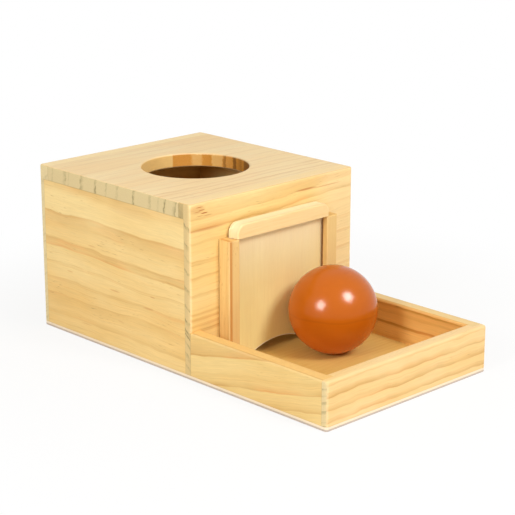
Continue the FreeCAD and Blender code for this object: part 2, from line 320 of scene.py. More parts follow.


# A board's figure. grain and depth are axes: the way the fibres run, and the way through the
# board's thickness. The rings are sheets that cross the board. slope is how fast they climb
# along the grain, bow how much they bend, and tilt how fast they climb through the thickness
# from the face that shows, which is face millimetres from the board's middle. sway is how far
# slow noise moves them, and ripple how far quick noise does. seed gives the board noise of its own.
# pale and warm are the two colours of the ground, and tone is the share of the warm one. bands are
# (place, fade, strength): millimetres up from the board's low edge, the millimetres over which the
# dark side fades away, with its sign, and how dark it is. fine is how dark the thin lines between
# them are, and fleck the short ducts. A level may also be a list of (place, level). marks are short
# dark strokes: (along, up, half length, half height, strength). cap is the colour of a level top,
# arris how dark the painted shade is along its edge, and arris_from how level the edge is where that
# begins. wear_and_highlight is how pale the rounded edges are, partly from wear and partly from a
# painted highlight. From the first place of quiet along the grain to the
# second, the wood turns paler and plainer.
#
# end_ground is the colour of a sawn end, end_rings are its rings' spacing at the low and the high
# edge, and end_dark is how dark they are. end_bands, where given, are a sawn end's own dark strokes
# in place of such rings, and end_lean how fast they climb through the thickness. end_block is a
# dark part of a sawn end: from where it begins through the thickness, and how high up, with how dark
# it is. hole is the radius in millimetres of a round hole through the middle of the board.
FIGURES = {
    "left_side_board": dict(
        grain="Y", depth="X", face=-5, tilt=0.35, sway=2.2, seed=3,
        pale=rgb(242, 215, 152), warm=rgb(232, 193, 121), fine=0.30, fleck=0.80,
        tone=[(0, 0.80), (30, 0.72), (50, 0.55), (75, 0.60), (86, 0.15), (99, 0.2)],
        marks=[(-2, 40.5, 6.5, 0.7, 0.34), (-37, 36, 6, 0.8, 0.34), (-41.5, 45, 3, 0.5, 0.45),
               (47, 43.5, 4, 0.6, 0.30), (22, 67, 5, 0.7, 0.24), (-8, 20, 4, 0.5, 0.22),
               (30, 9, 7, 0.6, 0.20), (-20, 99, 26, 5, 0.10)],
        bands=[(105.5, -8, 0.74), (84, -13, 0.68), (64.2, -2, 0.42), (59.2, 6, 0.68), (45.8, 2, 0.20),
               (35.8, -5, 0.34), (24.8, -9, 0.38), (9.8, 5, 0.32)]),
    "front_board": dict(
        grain="X", depth="Y", face=-5, slope=-0.043, bow=-0.0003, tilt=-0.8, sway=1.3, ripple=0.45,
        seed=11, pale=rgb(243, 216, 152), warm=rgb(239, 199, 124), fleck=0.55, quiet=(30, 58),
        fine=[(0, 0.62), (27, 0.72), (60, 0.64), (82, 0.25), (115, 0.12)],
        cap=rgb(248, 218, 160), arris=0.34, arris_from=0.30, wear_and_highlight=0.36,
        end_ground=rgb(216, 188, 132), end_lean=-0.9, end_block=(0.6, 104.5, 0.50),
        end_bands=[(100.3, -2.4, 0.85), (88, -4, 0.60), (79, -2, 0.25), (70.2, -2, 0.85), (58.5, -3, 0.70),
                   (45, 2.4, 0.75), (36.5, -3, 0.80), (29.5, -2.4, 0.85), (25.5, 1.8, 0.80), (21, -2, 0.60),
                   (13.5, -3.5, 0.45), (6, -2.5, 0.40)],
        bands=[(105.8, 9, 0.36), (98, 4.5, 0.72), (90, -2.2, 0.30), (78.7, -3, 0.38), (68, -2.5, 0.46),
               (56, -2.5, 0.46), (43.7, -1.6, 0.50), (40, -2.2, 0.56), (35, -1.6, 0.54), (30, 5, 0.70)],
        marks=[(-67, 112, 3.4, 0.35, 0.80), (-65, 109.9, 3.2, 0.35, 0.90), (-68.5, 109.2, 3.2, 0.3, 0.6),
               (-62.8, 107.7, 3.6, 0.5, 1), (-66.5, 106.2, 3.6, 0.3, 0.55), (-69, 110.8, 8, 3.2, 0.26),
               (-60, 105.8, 4.5, 0.35, 0.5), (-62, 96.8, 19, 1.1, 0.42), (30, 107, 12, 0.9, 0.62),
               (50, 106.4, 16, 0.6, 0.38), (38, 111.5, 42, 3, 0.10)]),
    "top_board": dict(
        grain="X", depth="Z", face=5, slope=0.01, tilt=0.15, sway=1.6, seed=5, hole=37.5,
        pale=rgb(246, 222, 172), warm=rgb(243, 207, 149), fine=0.09, fleck=0.42, ripple=0.6, end_lean=0.12,
        end_bands=[(132.2, 2, 0.25), (117.7, 4, 0.50), (115, -1, 0.25), (101.4, -4, 0.66),
                   (84.3, 2.4, 0.80), (74.1, -1.2, 0.50), (61.5, 2.6, 0.48), (45.7, -2.2, 0.85),
                   (27.9, 3, 0.34), (21, -2, 0.26), (13.6, 1.2, 1), (3, 4, 0.62)],
        bands=[(3, 2, 0.28), (10, -2.4, 0.42), (17, 3, 0.34), (24, -3.4, 0.36), (33, 2, 0.24),
               (42, -2.4, 0.20), (52, 2, 0.20), (64, -3, 0.18), (76, 3, 0.20), (88, -2, 0.14),
               (101, -2.5, 0.18), (113, 2, 0.14), (124, -3, 0.22), (132, 2, 0.14)]),
    "tray_front_wall": dict(
        grain="X", depth="Y", face=-5, tilt=0.3, sway=1, ripple=0.7, seed=8,
        pale=rgb(243, 212, 157), warm=rgb(238, 197, 128), end_ground=rgb(222, 200, 150),
        end_rings=(4, 7), end_dark=0.55, fleck=0.50,
        bands=[(27, 2.5, 0.28), (19, 4, 0.68), (10.8, 3.8, 0.68), (3, 3.4, 0.56)]),
    "tray_left_wall": dict(
        grain="Y", depth="X", face=-5, slope=0.20, tilt=0.3, sway=1.3, ripple=0.5, seed=21,
        pale=rgb(236, 208, 142), warm=rgb(228, 188, 114), cap=rgb(240, 194, 118), arris=0.7,
        bands=[(27, 11, 0.70), (7, 4.5, 0.74), (-4, 5, 0.50), (15, -3, 0.16)]),
    # The right wall's ground is more orange than the other boards': partly its own tone and partly painted
    # light, the warm light bounced inside the tray. Its level top keeps a paler tone.
    "tray_right_wall": dict(
        grain="Y", depth="X", face=-5, tilt=-0.3, sway=0.8, ripple=0.4, seed=14,
        pale=rgb(246, 200, 122), warm=rgb(238, 178, 92), cap=rgb(234, 204, 142), arris=0.55,
        bands=[(27.2, -1.6, 0.95), (22, 2, 0.35), (15, -2.6, 0.95), (13.4, 4, 0.40), (4, 3, 0.40)]),
    "back_board": dict(
        grain="X", depth="Y", face=5, slope=0.02, bow=0.0003, tilt=0.7, sway=2.4, seed=31,
        pale=rgb(243, 214, 150), warm=rgb(233, 192, 120), cap=rgb(251, 225, 172),
        end_ground=rgb(224, 204, 156), end_rings=(3, 15), end_dark=0.22,
        bands=[(106, -6, 0.40), (92, 4, 0.46), (77, 5, 0.50), (63, 3, 0.30), (50, 5, 0.46), (38, -3, 0.26),
               (27, 4, 0.44), (12, 4, 0.40)]),
    "right_side_board": dict(
        grain="Y", depth="X", face=5, slope=-0.02, bow=0.0003, tilt=-0.5, sway=2.6, seed=44,
        pale=rgb(243, 214, 150), warm=rgb(233, 192, 120), fleck=0.34,
        bands=[(98, -4, 0.34), (86, 6, 0.52), (71, 3, 0.30), (60, -8, 0.50), (44, 3, 0.34), (30, 7, 0.50),
               (15, -3, 0.30)]),
}

# The tone that the quiet end of a board turns to
QUIET = rgb(245, 214, 157)

# What a board's figure has where the board itself says nothing
PLAIN_FIGURE = dict(
    slope=0.0, bow=0.0, ripple=0.3, tone=0.5, fine=0.20, fleck=0.26, marks=(), arris=0.0,
    arris_from=0.80, wear_and_highlight=0.30, end_rings=(4.5, 8.0), end_dark=0.5)

# Millimetres past a board's low and high edge that its bands may reach
BAND_MARGIN = 12.0

# A band's line: the millimetres over which it begins and, at most, ends, and the share of the band's
# strength that is left where it ends
LINE_START = 0.45
LINE_END = 1.1
LINE_REST = 0.58

# The smallest step from one stop of a ramp to the next
STOP_STEP = 0.0005

# The hole's wall is sawn across the grain and oiled. On its right half, these are the places where
# the tone changes, in millimetres from the top board's front edge, with how dark each is. The
# wood to the left of a line is one even tone.
HOLE_STREAKS = [
    (44, 1), (57, 0.9), (58.5, 0.55), (62, 0.75), (66.5, 0.5), (68, 0.95), (70, 0.85),
    (71, 0.35), (76.5, 0.3), (77.5, 0.75), (79, 0.6), (80, 0.1), (87, 0.05), (88, 0.45),
    (92.5, 0.4), (94, 0.1), (97.5, 0.1), (99, 0.4), (106.5, 0.4),
]
HOLE_TONES = [(0.0, rgb(242, 192, 112)), (0.38, rgb(222, 151, 54)), (1.0, rgb(126, 79, 10))]
HOLE_LEFT = rgb(246, 202, 126)
# A painted highlight on the rounded rim, where the hole's wall turns up to the top
HOLE_RIM_HIGHLIGHT = rgb(255, 226, 176)

# The line in the hole's wall where the one even tone ends, in millimetres right of the hole's middle
HOLE_LINE = 10.5


def edge_distance(sheet, low, high):
    """Millimetres from the nearest edge line of a board's box, which is the second smallest distance to
    its six planes."""
    half = (high - low) / 2 * MM_PER_METRE
    parts = sheet.centred((low + high) / 2)[1]
    gaps = [sheet.less(half[i], sheet.number("ABSOLUTE", parts[i])) for i in range(3)]
    smaller = sheet.number("MINIMUM", gaps[0], gaps[1])
    larger = sheet.number("MAXIMUM", gaps[0], gaps[1])
    return sheet.number("MAXIMUM", smaller, sheet.number("MINIMUM", larger, gaps[2]))


def facing(sheet, axis):
    """How squarely the surface faces along one axis, from 0 to 1."""
    normal = sheet.add("TexCoord").outputs["Normal"]
    part = sheet.add("SeparateXYZ", {0: normal}).outputs[AXES[axis]]
    return sheet.number("ABSOLUTE", part)


def rubbed_and_lit_edges(sheet):
    """1 where the surface looks along no axis, which is on the rounded edges that hands rub, and less on the
    level ones. The pale laid there is partly wear and partly a painted highlight."""
    sizes = [facing(sheet, axis) for axis in AXES]
    square = sheet.number("MAXIMUM", sheet.number("MAXIMUM", sizes[0], sizes[1]), sizes[2])
    rub = sheet.fall(square, 0.90, 0.985)
    return sheet.times(rub, sheet.scaled(sheet.step(sizes[2], 0.15, 0.40), 1.0, 0.3))


def stop_place(place, height):
    """Where a height on a board lies on its ramps, which go from a margin under the board to one over it."""
    return (place + BAND_MARGIN) / (height + 2 * BAND_MARGIN)


def ramp_place(sheet, place, height):
    """The same for a socket."""
    whole = height + 2 * BAND_MARGIN
    return sheet.linear(place, 1 / whole, BAND_MARGIN / whole)


def band_profile(sheet, share, bands, height):
    """How dark the bands are. Each has a thin line at its sharp side and fades away on the other.
    Neighbours go to different ramps, so that they may overlap."""
    ordered = sorted(bands)
    total = 0.0
    for group in (ordered[0::2], ordered[1::2]):
        stops = [(0.0, 0.0)]
        for at, fade, strength in group:
            way = math.copysign(1.0, fade)
            row = [(at - way * LINE_START, 0.0), (at, strength),
                   (at + way * min(LINE_END, abs(fade) * 0.5), strength * LINE_REST), (at + fade, 0.0)]
            for place, level in sorted(row):
                spot = stop_place(place, height)
                if stops[-1][0] + STOP_STEP < spot < 1.0:
                    stops.append((spot, level))
        total = sheet.plus(total, sheet.ramp(share, stops + [(1.0, 0.0)]))
    return total


def hole_wall(sheet, colour, middle, radius, up, fibre, level):
    """The tones of the hole's wall, laid over a board's colour inside the hole's rim, with a painted
    highlight where the rim turns up to the level top."""
    parts = sheet.centred(middle)[1]
    away = sheet.number("SQRT", sheet.squares(parts[0], parts[1]))
    inside = sheet.fall(away, radius + 0.1, radius + 0.8)
    low, high = HOLE_STREAKS[0][0], HOLE_STREAKS[-1][0]
    wander = sheet.noise(sheet.drawn_out((parts[0], up, parts[2]), (0.0, 0.3, 0.25)),
                         detail=3.0, roughness=0.7)
    spot = sheet.linear(sheet.plus(up, sheet.spread(wander, 1.8)), 1 / (high - low), -low / (high - low))
    dark = sheet.ramp(spot, [((at - low) / (high - low), shade) for at, shade in HOLE_STREAKS])
    wall = sheet.ramp(sheet.plus(dark, sheet.spread(fibre, 0.22)), HOLE_TONES)
    line = sheet.step(parts[0], HOLE_LINE - 0.5, HOLE_LINE + 0.5)
    wall = sheet.mix(line, HOLE_LEFT, wall)
    wall = sheet.toned(wall, fibre, 0.90, 1.08)
    return sheet.mix(inside, colour, sheet.over(wall, HOLE_RIM_HIGHLIGHT, sheet.step(level, 0.20, 0.60), 0.6))


def sawn_end(sheet, figure, settings, height, ring, up, through, shift, drawn):
    """A sawn end. It has its own dark strokes where the figure names them, and rings otherwise, which stand
    closer towards the low edge, unevenly and some darker than others; each darkens slowly and ends at a
    sharp line."""
    speckle = sheet.noise(drawn(1.0, 0.9, 0.9), detail=3.0)
    blot = sheet.step(sheet.noise(drawn(3.0, 4.0, 3.0, 6.0)), 0.38, 0.58)
    if "end_bands" in figure:
        leant = sheet.linear(sheet.plus(through, 2.5), figure["end_lean"], up)
        leant = sheet.plus(leant, sheet.spread(sheet.noise(drawn(5.0, 6.0, 3.0, 7.0)), 1.8))
        stroke = band_profile(sheet, ramp_place(sheet, leant, height), figure["end_bands"], height)
        stroke = sheet.times(stroke, sheet.scaled(blot, 0.42, 1.15))
        end_dark = 1.0
    else:
        close, wide = figure["end_rings"]
        growth = (wide - close) / height
        spacing = sheet.linear(ring, growth, close)
        turns = sheet.number("DIVIDE", sheet.number("LOGARITHM", spacing, math.e), growth)
        turns = sheet.plus(turns, sheet.spread(sheet.line_noise(sheet.linear(turns, 0.45, shift)), 1.0))
        turn = sheet.number("FRACT", turns)
        stroke = sheet.between(turn, (0.50, 0.90), (0.92, 0.99))
        each = sheet.line_noise(sheet.linear(sheet.number("FLOOR", turns), 0.73, shift))
        stroke = sheet.times(stroke, sheet.scaled(sheet.step(each, 0.34, 0.60), 0.35, 1.0))
        stroke = sheet.times(stroke, sheet.scaled(blot, 0.35, 1.0))
        end_dark = figure["end_dark"]
    ground = figure.get("end_ground", tuple(settings.end_ground))
    stroke = sheet.number("MULTIPLY", stroke, end_dark, clamp=True)
    colour = sheet.toned(sheet.mix(stroke, ground, settings.end_line), speckle, 0.90, 1.08)
    if "end_block" in figure:
        inward, high_up, strength = figure["end_block"]
        block = sheet.times(sheet.step(through, inward - 0.6, inward + 0.4),
                            sheet.step(up, high_up - 0.6, high_up + 0.4))
        block = sheet.times(block, sheet.scaled(blot, strength * 0.6, strength))
        colour = sheet.mix(block, colour, settings.end_line)
    return colour


def pine(name, box, figure, settings):
    """Varnished pine. Rings are level sheets across the board, swayed by slow and quick noise: their
    named bands, finer lines between them, fibres and flecks drawn out along the grain, sawn ends, dark
    joints, and a satin varnish with the fibres as its bump."""
    low, high = box
    figure = {**PLAIN_FIGURE, **figure}
    sheet = new_sheet(name)
    lengthways, inwards = AXES[figure["grain"]], AXES[figure["depth"]]
    upwards = 3 - lengthways - inwards
    start = (low + high) / 2
    start[upwards] = low[upwards]
    parts = sheet.centred(start)[1]
    along, up, through = parts[lengthways], parts[upwards], parts[inwards]
    shift = figure["seed"] * PINE_STEP

    def drawn(length, height, depth, turn=1.0, rise=up):
        """A place for noise that is drawn out: so many millimetres long, high and deep."""
        return sheet.drawn_out((along, rise, through), (1 / length, 1 / height, 1 / depth), shift * turn)

    sway = sheet.spread(sheet.noise(drawn(60.0, 26.0, 40.0), roughness=0.45), 2.0 * figure["sway"])
    quick = sheet.spread(sheet.noise(drawn(13.0, 9.0, 20.0, 1.7), detail=1.0), 2.0 * figure["ripple"])
    tilted = sheet.linear(sheet.less(through, figure["face"]), figure["tilt"], up)
    sloped = sheet.linear(along, figure["slope"], tilted)
    bowed = sheet.linear(sheet.times(along, along), figure["bow"], sloped)
    ring = sheet.plus(sheet.plus(bowed, sway), quick)

    height = (high[upwards] - low[upwards]) * MM_PER_METRE
    share = ramp_place(sheet, ring, height)
    bands = band_profile(sheet, share, figure["bands"], height)

    def by_height(rows):
        """One level, or a level that changes with the height of the ring."""
        if not isinstance(rows, list):
            return rows
        return sheet.ramp(share, [(stop_place(at, height), level) for at, level in rows])

    def by_ring(*sizes):
        """As drawn, but it follows the rings."""
        return drawn(*sizes, rise=ring)

    # Each band is stronger and weaker along the board
    breath = sheet.step(sheet.noise(by_ring(34.0, 9.0, 200.0, 3.0), detail=1.0), 0.22, 0.62)
    bands = sheet.times(bands, sheet.scaled(breath, 0.5, 1.1))

    # Thin dark lines that come and go, fibres, and flecks in loose groups
    fine = sheet.line_noise(sheet.linear(ring, 0.62, shift), detail=3.0, roughness=0.7)
    here = sheet.noise(by_ring(24.0, 2.0, 60.0, 4.0))
    fine = sheet.times(sheet.step(fine, 0.57, 0.70), sheet.step(here, 0.34, 0.60))
    fibre = sheet.noise(by_ring(16.0, 0.67, 0.67), detail=4.0, roughness=0.62)
    fleck = sheet.step(sheet.noise(by_ring(9.0, 0.62, 0.7), detail=1.0), 0.66, 0.78)
    group = sheet.step(sheet.noise(by_ring(70.0, 16.0, 30.0, 5.0), detail=1.0), 0.42, 0.66)
    fleck = sheet.times(fleck, group)

    # Broad clouds of warmer wood
    cloud = sheet.step(sheet.noise(by_ring(90.0, 22.0, 40.0, 2.0), detail=3.0), 0.30, 0.70)
    tone = by_height(figure["tone"])
    cloud = sheet.linear(cloud, 0.55, sheet.less(tone, 0.28), clamp=True)
    fine = sheet.times(fine, by_height(figure["fine"]))

    colour = sheet.mix(cloud, figure["pale"], figure["warm"])
    if "quiet" in figure:
        quiet = sheet.step(along, *figure["quiet"])
        colour = sheet.over(colour, QUIET, quiet, 0.8)
        fine = sheet.times(fine, sheet.scaled(quiet, 1.0, 0.35))
        bands = sheet.times(bands, sheet.scaled(quiet, 1.0, 0.6))
    hue = sheet.step(sheet.noise(by_ring(38.0, 14.0, 60.0, 9.0), detail=1.0), 0.50, 0.66)
    late_wood = sheet.mix(hue, settings.late_wood, settings.warm_late_wood)
    colour = sheet.mix(fine, colour, late_wood)
    colour = sheet.mix(bands, colour, late_wood)
    colour = sheet.over(colour, settings.fleck, fleck, figure["fleck"])
    for place, rise, length, size, strength in figure["marks"]:
        off = sheet.linear(along, 1 / length, -place / length)
        lift = sheet.linear(up, 1 / size, -rise / size)
        mark = sheet.fall(sheet.squares(off, lift), 0.1, 1.1)
        colour = sheet.over(colour, settings.knot, mark, strength)

    # A level top of another tone, with a thin line of painted shade where its edge begins to turn down
    level = facing(sheet, "Z")
    if "cap" in figure:
        colour = sheet.over(colour, figure["cap"], sheet.step(level, 0.86, 0.97), 0.9)
        line = sheet.between(level, (figure["arris_from"], 0.90), (0.93, 0.985))
        colour = sheet.over(colour, settings.late_wood, line, figure["arris"])
    colour = sheet.toned(colour, fibre, 0.84, 1.14)
    # Pale rounded edges: partly wear and partly a painted highlight, weaker on the edges that face up
    rub = rubbed_and_lit_edges(sheet)
    wear_and_highlight = figure["wear_and_highlight"]
    patchy = sheet.scaled(sheet.noise(drawn(14.0, 6.0, 6.0, 8.0)), wear_and_highlight * 0.4, wear_and_highlight * 1.4)
    colour = sheet.over(colour, settings.worn, rub, patchy)

    end = sheet.step(facing(sheet, figure["grain"]), 0.55, 0.85)
    colour = sheet.mix(end, colour, sawn_end(
        sheet, figure, settings, height, ring, up, through, shift, drawn))
    if "hole" in figure:
        colour = hole_wall(sheet, colour, (low + high) / 2, figure["hole"], up, fibre, level)

    # Joints, which hardly show on a level top
    gap = edge_distance(sheet, low, high)
    width = settings.joint_width * MM_PER_METRE
    joint = sheet.fall(gap, width * 0.4, width * 1.3)
    joint = sheet.times(joint, sheet.scaled(sheet.step(level, 0.9, 0.99), 0.24, 0.08))
    colour = sheet.mix(joint, colour, settings.joint)

    rough = sheet.linear(fibre, 0.16, settings.varnish - 0.08)
    rough = sheet.linear(end, 0.16, rough)
    rough = sheet.linear(rub, 0.30, rough)
    return sheet.finish(colour, rough, sheet.bump(sheet.linear(bands, 0.5, fibre), 0.10))


def close_grain(sheet, parts, shift, streak_rates, fibre_rates, cloud_rates):
    """Close-grained wood's streaks, fibres and slow change of tone, each drawn out along the grain."""
    streak = sheet.noise(sheet.drawn_out(parts, streak_rates, shift), detail=4.0, roughness=0.6)
    fibre = sheet.noise(sheet.drawn_out(parts, fibre_rates, shift), detail=3.0)
    cloud = sheet.noise(sheet.drawn_out(parts, cloud_rates, shift))
    return streak, fibre, cloud


def plain_wood(name, box, grain, pale, dark, seed, rough=0.5, streaks=0.5, length=40.0,
               stripes=(), ends=None, edge_wear_and_highlight=0.4, fleck=0.0):
    """Close-grained wood without bold rings: fine streaks drawn out along the grain, over a slow change
    of tone, and short dark flecks. stripes are ((axis, first, last) once or more, strength, colour), in
    millimetres from the middle, and ends is the tone of all but the front and the back, from front to
    back."""
    low, high = box
    sheet = new_sheet(name)
    parts = sheet.centred((low + high) / 2)[1]
    turned = [parts[AXES[grain]]] + [parts[i] for i in range(3) if i != AXES[grain]]
    shift = seed * PLAIN_STEP
    streak, fibre, cloud = close_grain(
        sheet, turned, shift, (1 / length, 0.55, 0.55), (1 / 9, 2.2, 2.2), (1 / 50, 1 / 18, 1 / 18))
    share = sheet.linear(sheet.step(streak, 0.42, 0.72), streaks,
                         sheet.scaled(cloud, -0.15, 0.35), clamp=True)
    colour = sheet.mix(share, pale, dark)
    colour = sheet.toned(colour, fibre, 0.92, 1.08)
    for *limits, strength, tint in stripes:
        band = strength
        for axis, first, last in limits:
            within = sheet.between(
                parts[AXES[axis]], (first - 0.4, first + 0.4), (last - 0.6, last + 0.6))
            band = sheet.times(band, within)
        colour = sheet.mix(band, colour, tint)
    if fleck:
        short = sheet.noise(sheet.drawn_out(turned, (1 / 3.5, 1.4, 1.4), shift), detail=1.0)
        short = sheet.times(sheet.step(short, 0.62, 0.74), sheet.step(cloud, 0.46, 0.60))
        colour = sheet.over(colour, PLAIN_FLECK, short, fleck)
    if ends is None:
        colour = sheet.over(colour, dark, sheet.step(facing(sheet, grain), 0.45, 0.85), 0.35)
    else:
        from_front = sheet.linear(parts[1], 1 / ((high.y - low.y) * MM_PER_METRE), 0.5)
        away = sheet.fall(facing(sheet, "Y"), 0.30, 0.75)
        colour = sheet.over(colour, sheet.ramp(from_front, ends), away, 0.9)
    # Pale rounded edges: partly wear and partly a painted highlight
    colour = sheet.over(colour, RUBBED_EDGE_AND_HIGHLIGHT, rubbed_and_lit_edges(sheet), edge_wear_and_highlight)
    roughness = sheet.linear(streak, 0.14, rough - 0.07)
    return sheet.finish(colour, roughness, sheet.bump(fibre, 0.08))


# The arch in the door's lower edge, as wide and as high as the CAD cuts it, and the tone of the painted
# highlight along its edge
ARCH_WIDTH = 52.0
ARCH_HEIGHT = 6.5
ARCH_HIGHLIGHT = rgb(255, 250, 226)


def above_arch(sheet, across, upward, height):
    """Millimetres from the edge of an arch of a circle that is cut in a board's lower edge. across and upward
    are measured from the middle of the board, which is height millimetres high."""
    radius = (ARCH_WIDTH ** 2 / 4 + ARCH_HEIGHT ** 2) / (2 * ARCH_HEIGHT)
    lifted = sheet.plus(upward, height / 2 + radius - ARCH_HEIGHT)
    return sheet.less(sheet.number("SQRT", sheet.squares(across, lifted)), radius)


def plywood(name, box, grain, pale, dark, seed, plies, ply_tones, streaks=0.45, arched=False):
    """Thin plywood: a plain wood face, and on its edges alternate plies, every other one sawn across its
    fibres. pale may be a list of (share of the length, colour), from the grain's low end to its high one.
    An arch in the low edge gets a painted highlight, a pale line along its edge."""
    low, high = box
    sheet = new_sheet(name)
    lengthways = AXES[grain]
    parts = sheet.centred((low + high) / 2)[1]
    size = (high - low) * MM_PER_METRE
    thin = min(range(3), key=lambda i: size[i])
    across = 3 - lengthways - thin
    streak, fibre, cloud = close_grain(
        sheet, (parts[lengthways], parts[across], parts[thin]), seed * PLAIN_STEP,
        (1 / 45, 0.5, 0.0), (1 / 9, 2.0, 1.0), (1 / 60, 1 / 24, 0.0))
    share = sheet.linear(sheet.step(streak, 0.40, 0.75), streaks,
                         sheet.scaled(cloud, -0.1, 0.6), clamp=True)
    if isinstance(pale, list):
        spot = sheet.linear(parts[lengthways], 1 / size[lengthways], 0.5)
        pale = sheet.ramp(sheet.plus(spot, sheet.spread(cloud, 0.12)), pale)
    colour = sheet.mix(share, pale, dark)
    colour = sheet.toned(colour, fibre, 0.95, 1.05)
    # A painted highlight: a pale line along the arch's edge
    if arched:
        gap = above_arch(sheet, parts[across], parts[lengthways], size[lengthways])
        colour = sheet.over(colour, ARCH_HIGHLIGHT, sheet.fall(gap, 0.2, 0.9), 0.9)
    ply_share = sheet.linear(parts[thin], 1 / size[thin], 0.5)
    ply = sheet.toned(sheet.mix(sheet.ramp(ply_share, plies), *ply_tones), fibre, 0.95, 1.05)
    colour = sheet.mix(sheet.fall(facing(sheet, "XYZ"[thin]), 0.5, 0.8), colour, ply)
    roughness = sheet.linear(streak, 0.14, 0.48)
    return sheet.finish(colour, roughness, sheet.bump(fibre, 0.08))


def dress(node, material):
    """Give a CAD node's object its finish, through its material slots."""
    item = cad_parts[node]
    if not item.material_slots:
        raise RuntimeError(node + " has no material slot")
    for slot in item.material_slots:
        slot.material = material


# New pieces


# How finely the ball's surface is divided, from pole to pole and round, and the tone of its seam
BALL_RINGS = 96
BALL_SIDES = 192
BALL_SEAM = rgb(140, 62, 20)


def round_surface(name, centre, radius, rings, sides):
    """A ball as one closed surface. On a grid of turn u and rise v, a point is the centre plus the radius
    times (cos v cos u, cos v sin u, sin v); one point closes each pole."""
    turn = np.linspace(0.0, 2 * np.pi, sides, endpoint=False)
    rise = np.linspace(-np.pi / 2, np.pi / 2, rings + 1)[1:-1]
    u, v = np.meshgrid(turn, rise)
    body = np.stack([np.cos(v) * np.cos(u), np.cos(v) * np.sin(u), np.sin(v)], axis=-1).reshape(-1, 3)
    points = np.vstack([body, [[0.0, 0.0, -1.0], [0.0, 0.0, 1.0]]]) * radius + np.array(centre)
    row, column = np.meshgrid(np.arange(rings - 2), np.arange(sides), indexing="ij")
    following = (column + 1) % sides
    quads = np.stack([row * sides + column, row * sides + following,
                      (row + 1) * sides + following, (row + 1) * sides + column], axis=-1)
    side = np.arange(sides)
    beside = (side + 1) % sides
    south, north = len(body), len(body) + 1
    last = (rings - 2) * sides
    bottom = np.stack([beside, side, np.full(sides, south)], axis=-1)
    top = np.stack([last + side, last + beside, np.full(sides, north)], axis=-1)
    faces = quads.reshape(-1, 4).tolist() + bottom.tolist() + top.tolist()
    mesh = bpy.data.meshes.new(name)
    mesh.from_pydata(points.tolist(), [], faces)
    mesh.polygons.foreach_set("use_smooth", np.ones(len(mesh.polygons), bool))
    mesh.update()
    item = bpy.data.objects.new(name, mesh)
    bpy.context.scene.collection.objects.link(item)
    return item


def ball_paint(centre, settings):
    """Glossy paint over turned wood: faint turning lines round the ball, a soft seam at its equator, slow
    changes of tone, and fine grit in the paint."""
    sheet = new_sheet("terracotta paint")
    moved, parts = sheet.centred(centre)
    cloud = sheet.noise(moved, scale=1 / 24, detail=1.0)
    lap = sheet.noise(sheet.drawn_out(parts, (1 / 30, 1 / 30, 0.75)), detail=3.0)
    from_seam = sheet.number("ABSOLUTE", sheet.plus(parts[2], sheet.spread(cloud, 1.2)))
    colour = sheet.over(settings.paint, settings.worn, cloud, 0.22)
    colour = sheet.toned(colour, lap, 0.97, 1.03)
    colour = sheet.over(colour, BALL_SEAM, sheet.fall(from_seam, 0.15, 1.1), 0.16)
    grit = sheet.noise(moved, scale=1.1)
    rough = sheet.scaled(cloud, settings.gloss - 0.02, settings.gloss + 0.02)
    return sheet.finish(colour, rough, sheet.bump(sheet.linear(grit, 3.0, lap), 0.09), specular=0.24)


def steel(settings):
    """Zinc-plated steel with fine turning marks and dull patches."""
    sheet = new_sheet("zinc-plated steel")
    moved = sheet.centred(Vector())[0]
    patch = sheet.noise(moved, scale=0.8, detail=3.0)
    marks = sheet.noise(moved, scale=6.0)
    colour = sheet.toned(settings.steel, patch, 0.82, 1.1)
    rough = sheet.scaled(patch, 0.22, 0.5)
    return sheet.finish(colour, rough, sheet.bump(marks, 0.1, 0.0001), specular=0.5, metallic=1.0)


# Operators


class TOYBOX_OT_boards(bpy.types.Operator):
    """Gives the box's and the tray's pine boards their grain, ends and varnish"""

    bl_idname = "toybox.boards"
    bl_label = "Pine boards"

    def execute(self, context):
        settings = context.scene.toybox_pine
        for node, figure in FIGURES.items():
            dress(node, pine("pine " + node.replace("_", " "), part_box(node), figure, settings))
        return {"FINISHED"}


class TOYBOX_OT_sheets(bpy.types.Operator):
    """Gives the plywood base and the tray's floor their faces and plies"""

    bl_idname = "toybox.sheets"
    bl_label = "Base and tray floor"

    def execute(self, context):
        # The base's lower ply is grey: partly its own ply tone and partly painted shade along the bottom
        # edge, where the base meets the floor
        two_plies = [(0.0, 0.05), (0.44, 0.15), (0.52, 0.9), (0.92, 1.0)]
        dress("base_plate", plywood(
            "base plywood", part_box("base_plate"), "Y", rgb(240, 214, 168), rgb(222, 186, 132), 4,
            two_plies, (rgb(188, 172, 162), rgb(244, 226, 200))))
        three_plies = [(0.0, 0.9), (0.3, 0.9), (0.36, 0.2), (0.64, 0.2), (0.7, 0.9), (1.0, 0.9)]
        dress("tray_floor", plywood(
            "tray floor plywood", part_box("tray_floor"), "X", rgb(229, 192, 110), rgb(212, 162, 82), 9,
            three_plies, (rgb(190, 140, 80), rgb(232, 190, 120))))
        return {"FINISHED"}


